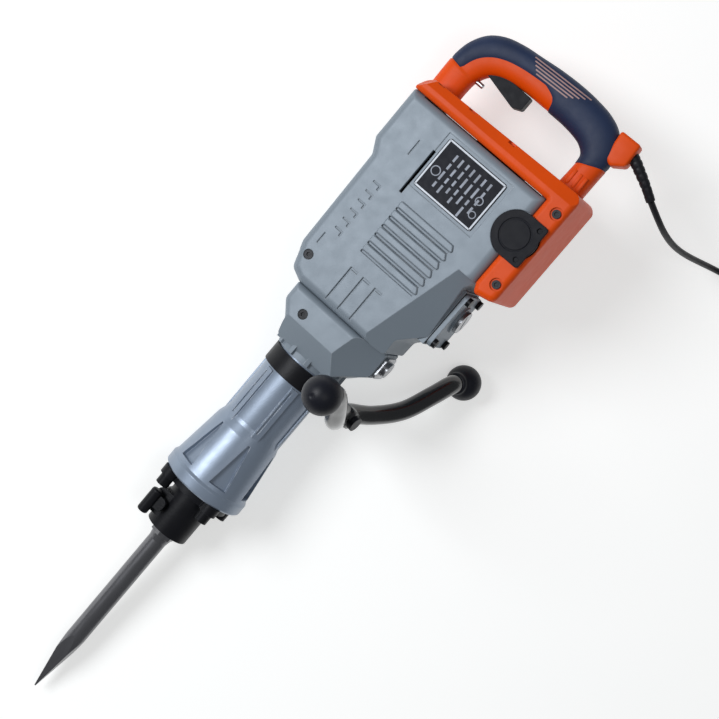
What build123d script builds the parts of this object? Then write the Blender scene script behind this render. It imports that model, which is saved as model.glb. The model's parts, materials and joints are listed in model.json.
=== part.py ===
"""Electric jackhammer with a 30 mm hexagon chisel, built piece by piece as it comes apart on a bench.

Tool coordinates, in millimetres: Z runs along the hammer's axis from the chisel's point to the D-handle,
X points to the front, where the oil covers are, and -Y to the side that carries the rating plate.
Every piece is modelled there, and lie_down() then lays the whole tool on its +Y side on the floor.
"""

from build123d import *
from math import cos, pi, radians, sin, tan
import os

# ---- driving dimensions -----------------------------------------------------------------------
HEX_FLATS = 30.0          # shank of the chisel, across its flats
BODY_R = 13.0             # round body of the chisel
POINT_LENGTH = 98.0       # ground point of the chisel
SHANK_Z = 271.0           # where its hexagon shank begins
CHISEL_LENGTH = 420.0
NOTCH = (284.0, 335.0)    # retainer notch in the shank
NOTCH_DEPTH = 9.0
SNOUT_Z = 281.0           # lower end of the front cover
PLATE_Z = 344.0           # lower face of the front cover's flange
BARREL_Z = 356.0          # lower end of the barrel
TUBE_Z = 462.0            # where the flare ends and the plain tube begins
BAND_Z = (541.0, 567.0)   # clamp band of the side handle
TUBE_R = 42.0
FLARE_R = 59.0
BORE_R = 33.0             # bore of the barrel
CYLINDER_R = 25.0         # bore of the cylinder liner
HOUSING_HALF = 70.0       # half the width of the casings, across the rating plate's side
CASE_Z = 578.0            # where the crank case meets the barrel
SEAM_Z = 648.0            # crank case to motor housing
ROOF_Z = 922.0            # motor housing to tail cover
TOP_Z = 1056.0            # top of the D-handle
MOTOR_Z = 866.0           # armature axis, which runs along X
GEAR_MODULE = 2.5
TEETH = {"pinion": 10, "wheel": 44, "second_pinion": 15, "crank": 42}
MESH_GAP = 0.35           # added to each centre distance
LAYSHAFT_Z = MOTOR_Z - GEAR_MODULE * (TEETH["pinion"] + TEETH["wheel"]) / 2 - MESH_GAP
CRANK_Z = LAYSHAFT_Z - GEAR_MODULE * (TEETH["second_pinion"] + TEETH["crank"]) / 2 - MESH_GAP
CRANK_THROW = 17.0
GRIP_HALF = 19.0          # half the thickness of the D-handle
HANDLE_SWING = -9.0       # side handle turned about the barrel, in degrees
HANDLE_CANT = 11.6        # side handle canted on its bolt, in degrees
KNOB_R = 24.0
CORD_D = 8.4
LIE_ROLL = 24.84          # how the tool lies on the floor: roll about its axis
LIE_PITCH = 6.4           # and pitch of its axis
SLIP = 0.05               # radial clearance of a running fit

parts = {}


# ---- helpers ----------------------------------------------------------------------------------
def rod_z(z0, z1, r, x=0.0, y=0.0):
    return Pos(x, y, (z0 + z1) / 2) * Cylinder(r, z1 - z0)


def rod_x(x0, x1, r, y=0.0, z=0.0):
    return Pos((x0 + x1) / 2, y, z) * Rot(0, 90, 0) * Cylinder(r, x1 - x0)


def rod_y(y0, y1, r, x=0.0, z=0.0):
    return Pos(x, (y0 + y1) / 2, z) * Rot(90, 0, 0) * Cylinder(r, y1 - y0)


def block(x0, x1, y0, y1, z0, z1):
    return Pos((x0 + x1) / 2, (y0 + y1) / 2, (z0 + z1) / 2) * Box(x1 - x0, y1 - y0, z1 - z0)


def outline(corners):
    """A face in the XZ plane; each corner is (x, z, radius)."""
    points = [(x, 0, z) for x, z, r in corners]
    return make_face(FilletPolyline(*points, radius=[r for x, z, r in corners], close=True))


def slab(corners, y0, y1):
    return Pos(0, y0, 0) * extrude(outline(corners), amount=y1 - y0, dir=(0, 1, 0))


def round_ends(solid, y_values, r):
    """Rounds the rims of the faces that lie at these y values."""
    for y in y_values:
        rim = solid.faces().filter_by(Axis.Y).sort_by(lambda f: abs(f.center().Y - y))[0]
        solid = fillet(rim.outer_wire().edges(), r)
    return solid


def hexagon_z(z0, z1, flats):
    sketch = RegularPolygon(radius=flats / 2, side_count=6, major_radius=False, rotation=30)
    return Pos(0, 0, z0) * extrude(sketch, amount=z1 - z0, dir=(0, 0, 1))


def solid_list(*shapes):
    return Compound(children=[s for shape in shapes for s in shape.solids()])


def revolved(profile):
    """A body of revolution about Z; each profile point is (radius, z)."""
    face = make_face(Polyline(*[(r, 0, z) for r, z in profile], close=True))
    return revolve(face, Axis.Z, 360)


# ---- chisel and front end ---------------------------------------------------------------------
def chisel():
    """A round bar ground to a four-sided point, with a hexagon shank and a notch for the retainer."""
    steepness = BODY_R / POINT_LENGTH
    top = 1.4 * POINT_LENGTH
    tip = 1.6
    sides = [(z, tip + 2 * steepness * z) for z in (0, top)]
    pyramid = loft([Pos(0, 0, z) * Rectangle(side, side) for z, side in sides])
    point = pyramid & rod_z(-1, top, BODY_R)
    body = rod_z(top, SHANK_Z, BODY_R)
    shoulder = revolved([(0, SHANK_Z - 9), (BODY_R, SHANK_Z - 9), (HEX_FLATS / 2, SHANK_Z), (0, SHANK_Z)])
    shank = hexagon_z(SHANK_Z, CHISEL_LENGTH, HEX_FLATS)
    notch = block(-20, -HEX_FLATS / 2 + NOTCH_DEPTH, -20, 20, *NOTCH)
    return (shank + shoulder + body + point - notch).solids().sort_by(SortBy.VOLUME)[-1]


RETAINER_X, RETAINER_Z, RETAINER_R = -21.0, 309.0, 9.0
BOLT_CIRCLE_R = 49.0
BOLT_ANGLES = [radians(a) for a in (45, 135, 225, 315)]
BOLT_PLACES = [(BOLT_CIRCLE_R * cos(a), BOLT_CIRCLE_R * sin(a)) for a in BOLT_ANGLES]


def front_cover():
    snout = rod_z(SNOUT_Z, PLATE_Z + 1, 30.0)
    cheeks = block(-36, 12, -27, 27, 292, 327)
    cheeks = fillet(cheeks.edges().filter_by(Axis.Y), 8)
    plate = rod_z(PLATE_Z, BARREL_Z, 46.0)
    ears = [rod_z(PLATE_Z, BARREL_Z, 12.5, x, y) for x, y in BOLT_PLACES]
    cover = snout + cheeks + plate + ears
    cover -= rod_z(SNOUT_Z - 1, BARREL_Z + 1, 22.0)
    cover -= rod_y(-40, 40, RETAINER_R + SLIP, RETAINER_X, RETAINER_Z)
    return cover - [rod_z(PLATE_Z - 1, BARREL_Z + 1, 6.2, x, y) for x, y in BOLT_PLACES]


def front_cover_bolts():
    def bolt(x, y):
        head = rod_z(PLATE_Z - 14, PLATE_Z, 9.0, x, y) - Pos(x, y, 0) * hexagon_z(PLATE_Z - 15, PLATE_Z - 8, 8)
        return head + rod_z(PLATE_Z, BARREL_Z + 22, 6.0, x, y)

    return solid_list(*[bolt(x, y) for x, y in BOLT_PLACES])


def hex_bush():
    bush = rod_z(SNOUT_Z + 2, BARREL_Z + 14, 22.0) - hexagon_z(SNOUT_Z, BARREL_Z + 20, HEX_FLATS + 0.1)
    return bush - rod_y(-40, 40, RETAINER_R + 0.6, RETAINER_X, RETAINER_Z)


def tool_retainer():
    """A cross pin through the shank's notch; a quarter turn brings its flat round and frees the chisel."""
    pin = rod_y(-32, 31, RETAINER_R, RETAINER_X, RETAINER_Z)
    pin -= block(RETAINER_X - 12, RETAINER_X + 12, -23, 23, RETAINER_Z - 12, RETAINER_Z - 3.2)
    arm = block(RETAINER_X - 17, RETAINER_X + 9, -38, -31, RETAINER_Z - 9, RETAINER_Z + 9)
    arm = fillet(arm.edges().filter_by(Axis.Y), 7)
    knob = Pos(RETAINER_X - 11, -38.5, RETAINER_Z - 4) * Cylinder(7.5, 36)
    knob = fillet(knob.edges().filter_by(GeomType.CIRCLE), 3)
    cap = rod_y(30.5, 34, 10.0, RETAINER_X, RETAINER_Z)
    return pin + arm + knob + cap


# ---- barrel and hammer mechanism --------------------------------------------------------------
def barrel():
    outer = revolved([(0, BARREL_Z), (FLARE_R - 2, BARREL_Z), (FLARE_R, BARREL_Z + 2), (FLARE_R, BARREL_Z + 15),
                      (FLARE_R - 2.5, BARREL_Z + 19), (TUBE_R + 5, TUBE_Z - 14), (TUBE_R + 1, TUBE_Z - 2),
                      (TUBE_R, TUBE_Z + 3), (TUBE_R, CASE_Z + 12), (0, CASE_Z + 12)])
    for k in range(6):
        rib = block(TUBE_R - 3, TUBE_R + 2.2, -5.5, 5.5, TUBE_Z - 6, BAND_Z[0] - 3)
        rib -= block(TUBE_R + 0.6, TUBE_R + 3, -3.4, -1.2, TUBE_Z + 2, BAND_Z[0] - 8)
        outer += Rot(0, 0, 60 * k) * rib
    outer -= rod_z(BARREL_Z - 1, CASE_Z + 20, BORE_R)
    pocket = loft([Plane(origin=(FLARE_R - 6, 0, BARREL_Z + 24), z_dir=(0, 0, 1)) * Rectangle(12, 26),
                   Plane(origin=(TUBE_R + 3.5, 0, TUBE_Z - 16), z_dir=(0, 0, 1)) * Rectangle(7, 3)])
    for k in range(6):
        outer -= Rot(0, 0, 60 * k) * (Pos(1.5, 0, 0) * pocket)
    holes = [rod_z(BARREL_Z - 1, BARREL_Z + 23, 6.0, x, y) for x, y in BOLT_PLACES]
    return (outer - holes).solids().sort_by(SortBy.VOLUME)[-1]


def cylinder_liner():
    tube = rod_z(447, 640, BORE_R - 0.1) - rod_z(440, 650, CYLINDER_R)
    return tube - [rod_x(-40, 40, 4, 0, 520)]


def nose_damper():
    ring = rod_z(BARREL_Z + 14.5, BARREL_Z + 30, BORE_R - 0.1) - rod_z(BARREL_Z, BARREL_Z + 40, 20)
    return fillet(ring.edges().filter_by(GeomType.CIRCLE), 1.5)


def impact_bolt():
    return rod_z(CHISEL_LENGTH + 14, 470, 14) + rod_z(448, 486, CYLINDER_R - SLIP)


def bolt_guide():
    return rod_z(BARREL_Z + 30.5, 446.5, BORE_R - 0.1) - rod_z(BARREL_Z + 20, 450, 18)


def striker():
    body = rod_z(503, 566, CYLINDER_R - SLIP) - rod_z(545, 570, 17)
    return body - [rod_z(z, z + 3, 30) - rod_z(z - 1, z + 4, 22.5) for z in (512, 553)]


PISTON_Z = 600.0
PIN_Z = CRANK_Z - CRANK_THROW


def piston():
    body = rod_z(PISTON_Z - 16, PISTON_Z + 20, CYLINDER_R - SLIP) - rod_z(PISTON_Z - 8, PISTON_Z + 25, 19)
    body -= rod_x(-30, 30, 6.0, 0, PISTON_Z + 4)
    return body - (rod_z(PISTON_Z - 13, PISTON_Z - 10, 30) - rod_z(PISTON_Z - 14, PISTON_Z - 9, 22.5))


def piston_ring():
    return rod_z(PISTON_Z - 12.8, PISTON_Z - 10.2, CYLINDER_R - SLIP) - rod_z(PISTON_Z - 14, PISTON_Z - 9, 22.6)


def wrist_pin():
    return rod_x(-22, 22, 6.0, 0, PISTON_Z + 4)


def connecting_rod():
    web = block(-6, 6, -8, 8, PISTON_Z + 4, PIN_Z)
    rod = web + rod_x(-7, 7, 11, 0, PISTON_Z + 4) + rod_x(-7, 7, 15, 0, PIN_Z)
    return rod - rod_x(-9, 9, 6.0, 0, PISTON_Z + 4) - rod_x(-9, 9, 8.0, 0, PIN_Z)


def crank_pin():
    return rod_x(-8, 8, 8.0, 0, PIN_Z)


# ---- gears and motor --------------------------------------------------------------------------
def gear_x(x0, x1, teeth, z, bore, turn=0.0):
    """A spur gear on an axis along X. Turn is in tooth pitches from a tooth that points up."""
    pitch_r = GEAR_MODULE * teeth / 2
    root_r, tip_r = pitch_r - 1.3 * GEAR_MODULE, pitch_r + 0.85 * GEAR_MODULE
    points = []
    for k in range(teeth):
        middle = (k + turn) / teeth
        for share, r in ((-0.31, root_r), (-0.10, tip_r), (0.10, tip_r), (0.31, root_r)):
            a = 2 * pi * (middle + share / teeth)
            points.append((x0, r * sin(a), z + r * cos(a)))
    blank = extrude(make_face(Polyline(*points, close=True)), amount=x1 - x0, dir=(1, 0, 0))
    return blank - rod_x(x0 - 1, x1 + 1, bore, 0, z)


def armature_shaft():
    return rod_x(-82, 137, 8.0, 0, MOTOR_Z)


def drive_pinion():
    return gear_x(-83, -71, TEETH["pinion"], MOTOR_Z, 8.0, 0.0)


def armature_core():
    core = rod_x(-14, 62, 29.0, 0, MOTOR_Z) - rod_x(-20, 70, 8.0, 0, MOTOR_Z)
    for a, b in ((-26, -14), (62, 76)):
        core += rod_x(a, b, 22.0, 0, MOTOR_Z) - rod_x(a - 1, b + 1, 8.0, 0, MOTOR_Z)
    return core


def commutator():
    body = rod_x(98, 124, 19.0, 0, MOTOR_Z) - rod_x(90, 130, 8.0, 0, MOTOR_Z)
    slots = [Pos(0, 0, MOTOR_Z) * Rot(15 * k, 0, 0) * block(100, 125, -0.5, 0.5, 17.5, 20) for k in range(24)]
    return body - slots


def cooling_fan():
    hub = rod_x(-48, -32, 14.0, 0, MOTOR_Z) + rod_x(-34, -31, 46.0, 0, MOTOR_Z)
    blades = [Pos(0, 0, MOTOR_Z) * Rot(30 * k, 0, 0) * block(-48, -33, -1, 1, 12, 45) for k in range(12)]
    return hub + blades - rod_x(-50, -30, 8.0, 0, MOTOR_Z)


def stator():
    ring = rod_x(-12, 60, 58.0, 0, MOTOR_Z) - rod_x(-20, 70, 46.0, 0, MOTOR_Z)
    shoes = [block(-12, 60, -24, 24, MOTOR_Z + a, MOTOR_Z + b) for a, b in ((29, 47), (-47, -29))]
    return (ring + shoes) - rod_x(-20, 70, 29.6, 0, MOTOR_Z)


def bearings():
    def bearing(x0, x1, r, bore, z):
        return rod_x(x0, x1, r, 0, z) - rod_x(x0 - 1, x1 + 1, bore + SLIP, 0, z)

    return solid_list(bearing(-64, -53, 16, 8, MOTOR_Z), bearing(126, 136, 15, 8, MOTOR_Z),
                      bearing(-54, -44, 14, 7, LAYSHAFT_Z), bearing(-52, -40, 20, 10, CRANK_Z),
                      bearing(-36, -24, 20, 10, CRANK_Z))


def layshaft():
    shaft = rod_x(-83, -43, 7.0, 0, LAYSHAFT_Z)
    return shaft + gear_x(-69.5, -56, TEETH["second_pinion"], LAYSHAFT_Z, 7.0, 0.0)


def layshaft_wheel():
    wheel = gear_x(-83, -73, TEETH["wheel"], LAYSHAFT_Z, 7.0, 0.5)
    turns = [k * pi / 3 for k in range(6)]
    return wheel - [rod_x(-90, -60, 9, 30 * sin(a), LAYSHAFT_Z + 30 * cos(a)) for a in turns]


def crank_gear():
    return gear_x(-69, -56.5, TEETH["crank"], CRANK_Z, 10.0, 0.0)


def crank_shaft():
    """The shaft and its disc, with a counterweight opposite the pin."""
    disc = rod_x(-18, -9, 33, 0, CRANK_Z)
    counterweight = disc & rod_x(-30, 0, 24, 0, CRANK_Z + 9)
    arm = disc & block(-18, -9, -13, 13, CRANK_Z - CRANK_THROW - 12, CRANK_Z + 14)
    return rod_x(-72, -18, 10.0, 0, CRANK_Z) + counterweight + arm


# ---- casings ----------------------------------------------------------------------------------
CASE_HALF = 67.0          # half the width of the crank case
TAIL_HALF = HOUSING_HALF + 1.5
SCREW_SINK = 3.4          # how deep the casing screws' counterbores are
CASE_SCREWS = [(-70.0, 682.0, HOUSING_HALF), (-27.0, 621.0, CASE_HALF)]
TAIL_SCREWS = [(134.0, 806.0), (134.0, 916.0)]
TAIL_SEAT_R = 8.0
COVER_FACE = 107.0        # front face that the oil cover's gasket lies on
COVER_SCREWS = [(y, z) for y in (-31, 31) for z in (699, 765)]
OIL_CAP_AT = (0.0, 738.0)
BRUSH_X = 111.0           # the brushes' axis
BRUSH_CAP_X = 113.0       # and that of the caps over them


def across(inner, outer, r, x, z):
    """The same rod along Y on both sides, between these distances from the middle plane."""
    return [rod_y(*sorted((s * inner, s * outer)), r, x, z) for s in (-1, 1)]


def screw_seats():
    """Counterbores for the casing screws, on both sides."""
    return [seat for x, z, half in CASE_SCREWS for seat in across(half - SCREW_SINK, half + 9, 6.6, x, z)]


def mirrored_y(solid):
    return [solid, mirror(solid, about=Plane.XZ)]


def wedge(z0, corners0, z1, corners1):
    """A cutter with one polygon of (x, y) corners at height z0 and another at z1."""
    ends = ((z0, corners0), (z1, corners1))
    return loft([Pos(0, 0, z) * make_face(Polyline(*corners, close=True)) for z, corners in ends])


def crank_case():
    body = slab([(-42, CASE_Z, 6), (-44, 602, 10), (-60, 622, 12), (-60, SEAM_Z, 2),
                 (80, SEAM_Z, 2), (80, 612, 12), (56, 592, 12), (42, CASE_Z, 6)], -CASE_HALF, CASE_HALF)
    body = round_ends(body, (-CASE_HALF, CASE_HALF), 9)
    front = wedge(CASE_Z - 4, [(20, -70), (90, -70), (90, -14)], SEAM_Z + 0.1, [(40, -70), (90, -70), (90, -22)])
    under = wedge(CASE_Z - 1, [(-70, -80), (90, -80), (90, -46), (-70, -46)], 612,
                  [(-70, -80), (90, -80), (90, -69), (-70, -69)])
    body -= mirrored_y(front) + mirrored_y(under)
    pad = block(60, 80, -24, 24, 611, SEAM_Z)
    neck = rod_z(CASE_Z - 8, CASE_Z + 30, 47.0)
    ribs = [Rot(0, 0, 30 * k + 15) * block(44, 51.5, -3, 3, CASE_Z - 7, CASE_Z + 22) for k in range(12)]
    body = body + pad + neck + ribs
    body = body - rod_z(CASE_Z - 10, CASE_Z + 12, TUBE_R) - rod_z(CASE_Z, SEAM_Z + 1, BORE_R)
    body -= block(-24, 60, -24, 24, 632, SEAM_Z + 1) + screw_seats()
    return body.solids().sort_by(SortBy.VOLUME)[-1]


HOUSING = [(-60, SEAM_Z, 6), (-78, 656, 12), (-90, 690, 14), (-92, 826, 8), (-103, 846, 8), (-103, ROOF_Z, 3),
           (112, ROOF_Z, 3), (112, 792, 3), (103, 776, 10), (106, 700, 6), (80, 672, 10), (80, SEAM_Z, 4)]


LOUVRE_X = (-22.0, 66.0)
LOUVRE_Z = [736.0 + 13.4 * k for k in range(6)]


def side_details():
    """Shallow grooves in the casing's near side: louvre shadows, slots with hooked ends, moulding marks."""
    def groove(x0, x1, z0, z1, depth):
        return block(x0, x1, -HOUSING_HALF - 1, -HOUSING_HALF + depth, z0, z1)

    cuts = [groove(LOUVRE_X[0], LOUVRE_X[1] - 2, z - 8.2, z - 5.2, 3.0) for z in LOUVRE_Z]
    for x in (-18.0, 2.0, 22.0):
        cuts += [groove(x, x + 2.4, 655, 703, 2.2), groove(x, x + 12, 703, 706, 2.2)]
    for k in range(6):
        z = 729.0 + 14.6 * k
        cuts += [groove(-66, -54, z, z + 2.2, 1.4), groove(-56.2, -54, z - 5, z, 1.4)]
    cuts += [groove(-54.5, -52.8, 855, 877, 1.4), groove(-72, -70.3, 700, 716, 1.4)]
    return cuts


def louvre_ribs():
    ribs = []
    for z in LOUVRE_Z:
        rib = slab([(LOUVRE_X[0], z - 4.6, 2.4), (LOUVRE_X[0], z + 4.6, 2.4), (LOUVRE_X[1] - 3, z + 4.6, 2.4),
                    (LOUVRE_X[1] + 3, z - 4.6, 2.4)], -HOUSING_HALF - 2.6, -HOUSING_HALF + 1)
        rim = rib.faces().sort_by(Axis.Y)[0].outer_wire().edges()
        ribs.append(chamfer(rim, 1.2))
    return ribs


def motor_housing():
    wall = 6.0
    body = round_ends(slab(HOUSING, -HOUSING_HALF, HOUSING_HALF), (-HOUSING_HALF, HOUSING_HALF), 12)
    front = wedge(SEAM_Z - 8, [(37, -76), (116, -76), (116, -22)], 790, [(78, -76), (116, -76), (116, -50)])
    body -= mirrored_y(front)
    cavity = block(-86, 104, -HOUSING_HALF + wall, HOUSING_HALF - wall, CRANK_Z + 66, ROOF_Z + 1)
    gears = block(-86, -55, -HOUSING_HALF + wall, HOUSING_HALF - wall, CRANK_Z - 58, MOTOR_Z)
    chamber = block(-39, 60, -38, 38, 655, 768) + block(50, 98, -29, 29, 701, 763)
    chamber += block(-27, 60, -27, 27, SEAM_Z - 1, 660)
    body += block(84, COVER_FACE, -40, 40, 690, 774)
    body = body - cavity - gears - chamber - block(90, COVER_FACE + 1, -29, 29, 701, 763)
    body -= rod_x(-60, -30, 20, 0, CRANK_Z) + rod_x(-60, -43, 14, 0, LAYSHAFT_Z)
    body -= rod_x(100, 120, 24, 0, MOTOR_Z) + rod_y(-80, 80, 10.2, BRUSH_X, MOTOR_Z)
    body -= across(66, 80, 31.0, BRUSH_CAP_X, MOTOR_Z)
    body -= [rod_x(90, 120, 3.0, y, z) for y, z in COVER_SCREWS]
    for groove in side_details():
        body -= mirrored_y(groove)
    for rib in louvre_ribs():
        body += mirrored_y(rib)
    vents = [block(-33, -29, *sorted((s * 50, s * 72)), 814, 879) for s in (-1, 1)]
    body = body - vents - screw_seats() - block(-31, 72, -71, -69.2, 828, 908)
    return body.solids().sort_by(SortBy.VOLUME)[-1]


def nameplate():
    plate = block(-26, 67, -70.4, -69.2, 832, 904)
    return fillet(plate.edges().filter_by(Axis.Y), 4)


TAIL = [(-103, ROOF_Z, 2), (-103, 938, 10), (-92, 945, 4), (140, 950, 12), (146, 942, 6), (146, 786, 10),
        (118, 780, 5), (112.2, 792, 1), (112.2, ROOF_Z, 1)]


def rear_corner():
    """A cutter that slopes the cover's rear corner from the handle's leg down to its near edge."""
    low, inward, forward = Vector(-104, -73, 920), Vector(-104, -21, 951), Vector(-76, -73, 951)
    normal = (forward - low).cross(inward - low)
    if normal.Z < 0:
        normal = normal * -1
    face = Plane(origin=(low + inward + forward) * (1 / 3), z_dir=normal)
    return face * Pos(0, 0, 30) * Box(120, 120, 60)


def tail_cover():
    """The handle base: a roof over the motor housing and a limb down its front that holds the brush caps."""
    body = round_ends(slab(TAIL, -TAIL_HALF, TAIL_HALF), (-TAIL_HALF, TAIL_HALF), 8)
    slope = extrude(make_face(Polyline((-110, -74, 930), (-110, -74, 956), (-110, -59, 956), close=True)),
                    amount=270, dir=(1, 0, 0))
    body -= mirrored_y(slope) + mirrored_y(rear_corner())
    for x in (-78, -28, 36):
        body -= mirrored_y(block(x - 5, x + 5, -66, -58, 944, 956))
    body -= block(-90, 106, -56, 56, ROOF_Z - 1, 934)
    body -= rod_x(105, 139, 22, 0, MOTOR_Z) - block(100, 111, -30, 30, 800, 900)
    body -= rod_y(-80, 80, 10.0, BRUSH_X, MOTOR_Z)
    body -= across(66, 80, 31.0, BRUSH_CAP_X, MOTOR_Z)
    for x, z in TAIL_SCREWS:
        body -= across(TAIL_HALF - 2.6, TAIL_HALF + 5, TAIL_SEAT_R, x, z)
    return body - rod_x(100, 140, 15, 0, MOTOR_Z)


def brush_caps():
    def cap(s):
        corner = BRUSH_CAP_X + 28
        disc = rod_y(*sorted((s * 66.2, s * 76)), 30.0, BRUSH_CAP_X, MOTOR_Z)
        plate = slab([(BRUSH_CAP_X, MOTOR_Z - 30, 1), (corner, MOTOR_Z - 30, 4), (corner, MOTOR_Z + 30, 4),
                      (BRUSH_CAP_X, MOTOR_Z + 30, 1)], *sorted((s * 71.5, s * 76)))
        groove = (rod_y(*sorted((s * 75, s * 77)), 20.5, BRUSH_CAP_X, MOTOR_Z)
                  - rod_y(*sorted((s * 74, s * 78)), 18.5, BRUSH_CAP_X, MOTOR_Z))
        seats = [rod_y(*sorted((s * 74, s * 77)), 3.2, BRUSH_CAP_X + 20, MOTOR_Z + k * 22) for k in (-1, 1)]
        return disc + plate - groove - seats

    return solid_list(*[cap(s) for s in (-1, 1)])


def brush_holders():
    channel = block(BRUSH_X - 5, BRUSH_X + 5, -70, 70, MOTOR_Z - 4, MOTOR_Z + 4)
    return solid_list(*[holder - channel for holder in across(20, 66, 9.8, BRUSH_X, MOTOR_Z)])


def carbon_brushes():
    brush = block(BRUSH_X - 4.7, BRUSH_X + 4.7, 19.3, 40, MOTOR_Z - 3.8, MOTOR_Z + 3.8)
    return solid_list(*mirrored_y(brush))


D_OUTER = [(-108, 944, 4), (-108, 986, 18), (-89, 1031, 26), (-34, 1047, 40), (40, TOP_Z - 3, 50),
           (112, 1044, 16), (128, 1046, 6), (148, 1044, 5), (150, 1010, 5), (134, 1000, 10), (132, 949, 3)]
D_GAP = [(-66, 947, 8), (-62, 984, 16), (-40, 1000, 14), (20, 1004, 20), (84, 1002, 12), (97, 984, 12),
         (97, 949, 8)]
D_RIM = [(-71, 940, 8), (-67, 987, 18), (-43, 1005, 16), (20, 1009, 22), (87, 1007, 14), (102, 986, 14),
         (102, 940, 8)]
GRIP_ZONE = [(-92, 1006, 4), (-60, 984, 4), (-30, 977, 4), (92, 977, 4), (122, 1000, 4), (117, 1046, 2),
             (100, 1070, 4), (-60, 1070, 4), (-86, 1060, 4)]
D_POCKET = [(-66, 1003, 3), (60, 1013, 3), (60, 1031, 3), (-50, 1031, 3), (-70, 1018, 3)]
TRIGGER_SLOT = (-64.0, 6.0)
TRIGGER_PIVOT = (-57.0, 1000.0)
LOCK_Z = 976.0


def handle_shell(s):
    """One half of the D-handle's shell, from the middle plane to the s side; it carries on under the grip."""
    ring = slab(D_OUTER, *sorted((s * 0.0, s * GRIP_HALF))) - slab(D_GAP, -30, 30)
    ring -= slab(GRIP_ZONE, -30, 30) - slab(D_RIM, -40, 40)
    ring -= [slab(D_POCKET, -11, 11), slab(TAIL, -80, 80), block(*TRIGGER_SLOT, -8.5, 8.5, 970, 1014)]
    ring -= [rod_x(131, 160, 8.0, 0, 1027), rod_y(-12, 12, 2.5, *TRIGGER_PIVOT)]
    ring -= rod_x(-84, -55, 3.2 + SLIP, 0, LOCK_Z)
    return ring.solids().sort_by(SortBy.VOLUME)[-1]


def handle_grip():
    """The soft grip round the D-handle's upper bar."""
    ring = slab(D_OUTER, -GRIP_HALF, GRIP_HALF) - slab(D_GAP, -30, 30)
    grip = (ring & slab(GRIP_ZONE, -30, 30)) - slab(D_RIM, -40, 40)
    grip -= slab(D_POCKET, -11, 11)
    grip -= block(*TRIGGER_SLOT, -8.5, 8.5, 970, 1014) + rod_y(-12, 12, 2.5, *TRIGGER_PIVOT)
    return grip.solids().sort_by(SortBy.VOLUME)[-1]


def trigger():
    lever = slab([(-63, 1004, 2), (-63, 992, 3), (-8, 979, 4), (4, 984, 4), (4, 1003, 2)], -8, 8)
    return lever - rod_y(-10, 10, 2.5 + SLIP, *TRIGGER_PIVOT)


def trigger_pin():
    return rod_y(-11.5, 11.5, 2.5, *TRIGGER_PIVOT)


def switch_body():
    return block(-46, -2, -10, 10, 1014.5, 1030) + block(-30, -22, -3, 3, 1012.5, 1015)


def lock_button():
    pin = rod_x(-80, -54, 3.2, 0, LOCK_Z)
    return fillet(pin.edges().filter_by(GeomType.CIRCLE).sort_by(Axis.X)[-1], 1.0)


# ---- covers, caps and screws ------------------------------------------------------------------
def crank_gasket():
    return block(COVER_FACE, COVER_FACE + 1, -38, 38, 692, 772) - [
        block(100, 120, -29, 29, 701, 763), *[rod_x(100, 120, 3.0, y, z) for y, z in COVER_SCREWS]]


def crank_cover():
    plate = block(COVER_FACE + 1, COVER_FACE + 7, -38, 38, 692, 772)
    plate = fillet(plate.edges().filter_by(Axis.X), 7)
    boss = rod_x(COVER_FACE + 7, COVER_FACE + 10, 20, *OIL_CAP_AT)
    holes = [rod_x(100, 120, 3.1, y, z) for y, z in COVER_SCREWS]
    return (plate + boss) - holes - rod_x(100, 120, 12, *OIL_CAP_AT)


def crank_cover_screws():
    def screw(y, z):
        return rod_x(COVER_FACE + 7, COVER_FACE + 12, 6, y, z) + rod_x(COVER_FACE - 10, COVER_FACE + 7, 3, y, z)

    return solid_list(*[screw(y, z) for y, z in COVER_SCREWS])


def oil_cap():
    face = COVER_FACE + 10
    cap = rod_x(face, face + 5, 16, *OIL_CAP_AT) + rod_x(face - 9, face, 12 - SLIP, *OIL_CAP_AT)
    return cap - Pos(face + 5, *OIL_CAP_AT) * Rot(35, 0, 0) * Box(4, 3, 24)


GREASE_FACE = 80.0


def grease_cover():
    plate = block(GREASE_FACE, GREASE_FACE + 4, -22, 22, 613, 645)
    plate = fillet(plate.edges().filter_by(Axis.X), 6)
    return plate + rod_x(GREASE_FACE + 4, GREASE_FACE + 9, 11, 0, 630)


def case_screws():
    """Socket screws that clamp the casings together, sunk in both sides."""
    return solid_list(*[head - socket for x, z, half in CASE_SCREWS
                        for head, socket in zip(across(half - SCREW_SINK, half - 0.3, 6, x, z),
                                                across(half - 2, half + 1, 2.5, x, z))])


def tail_screws():
    """Socket screws sunk in the handle base's limb, on both sides."""
    floor = TAIL_HALF - 2.6
    return solid_list(*[head - socket for x, z in TAIL_SCREWS
                        for head, socket in zip(across(floor, floor + 2.4, 5.5, x, z),
                                                across(floor + 1, floor + 3, 2.5, x, z))])


HANDLE_SCREWS = [(-92, 962), (117, 962), (141, 1030)]


def handle_screws():
    return solid_list(*[rod_y(GRIP_HALF, GRIP_HALF + 1.5, 4.5, x, z) for x, z in HANDLE_SCREWS])


# ---- side handle ------------------------------------------------------------------------------
BAND_MIDDLE = sum(BAND_Z) / 2
BAR_R = 12.0
BOW = [(82, 0, 554, 40), (95, 36, 556, 60), (113, 88, 573, 60), (121, 128, 607, 30), (122.8, 152, 628.7, 14)]
KNOB_Y = 186.0


def set_side_handle(piece, canted=True):
    """Turns a piece of the side handle about the barrel, and cants the bar on its bolt."""
    if canted:
        piece = Pos(0, 0, BAND_MIDDLE) * Rot(HANDLE_CANT, 0, 0) * Pos(0, 0, -BAND_MIDDLE) * piece
    return Rot(0, 0, HANDLE_SWING) * piece


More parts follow.
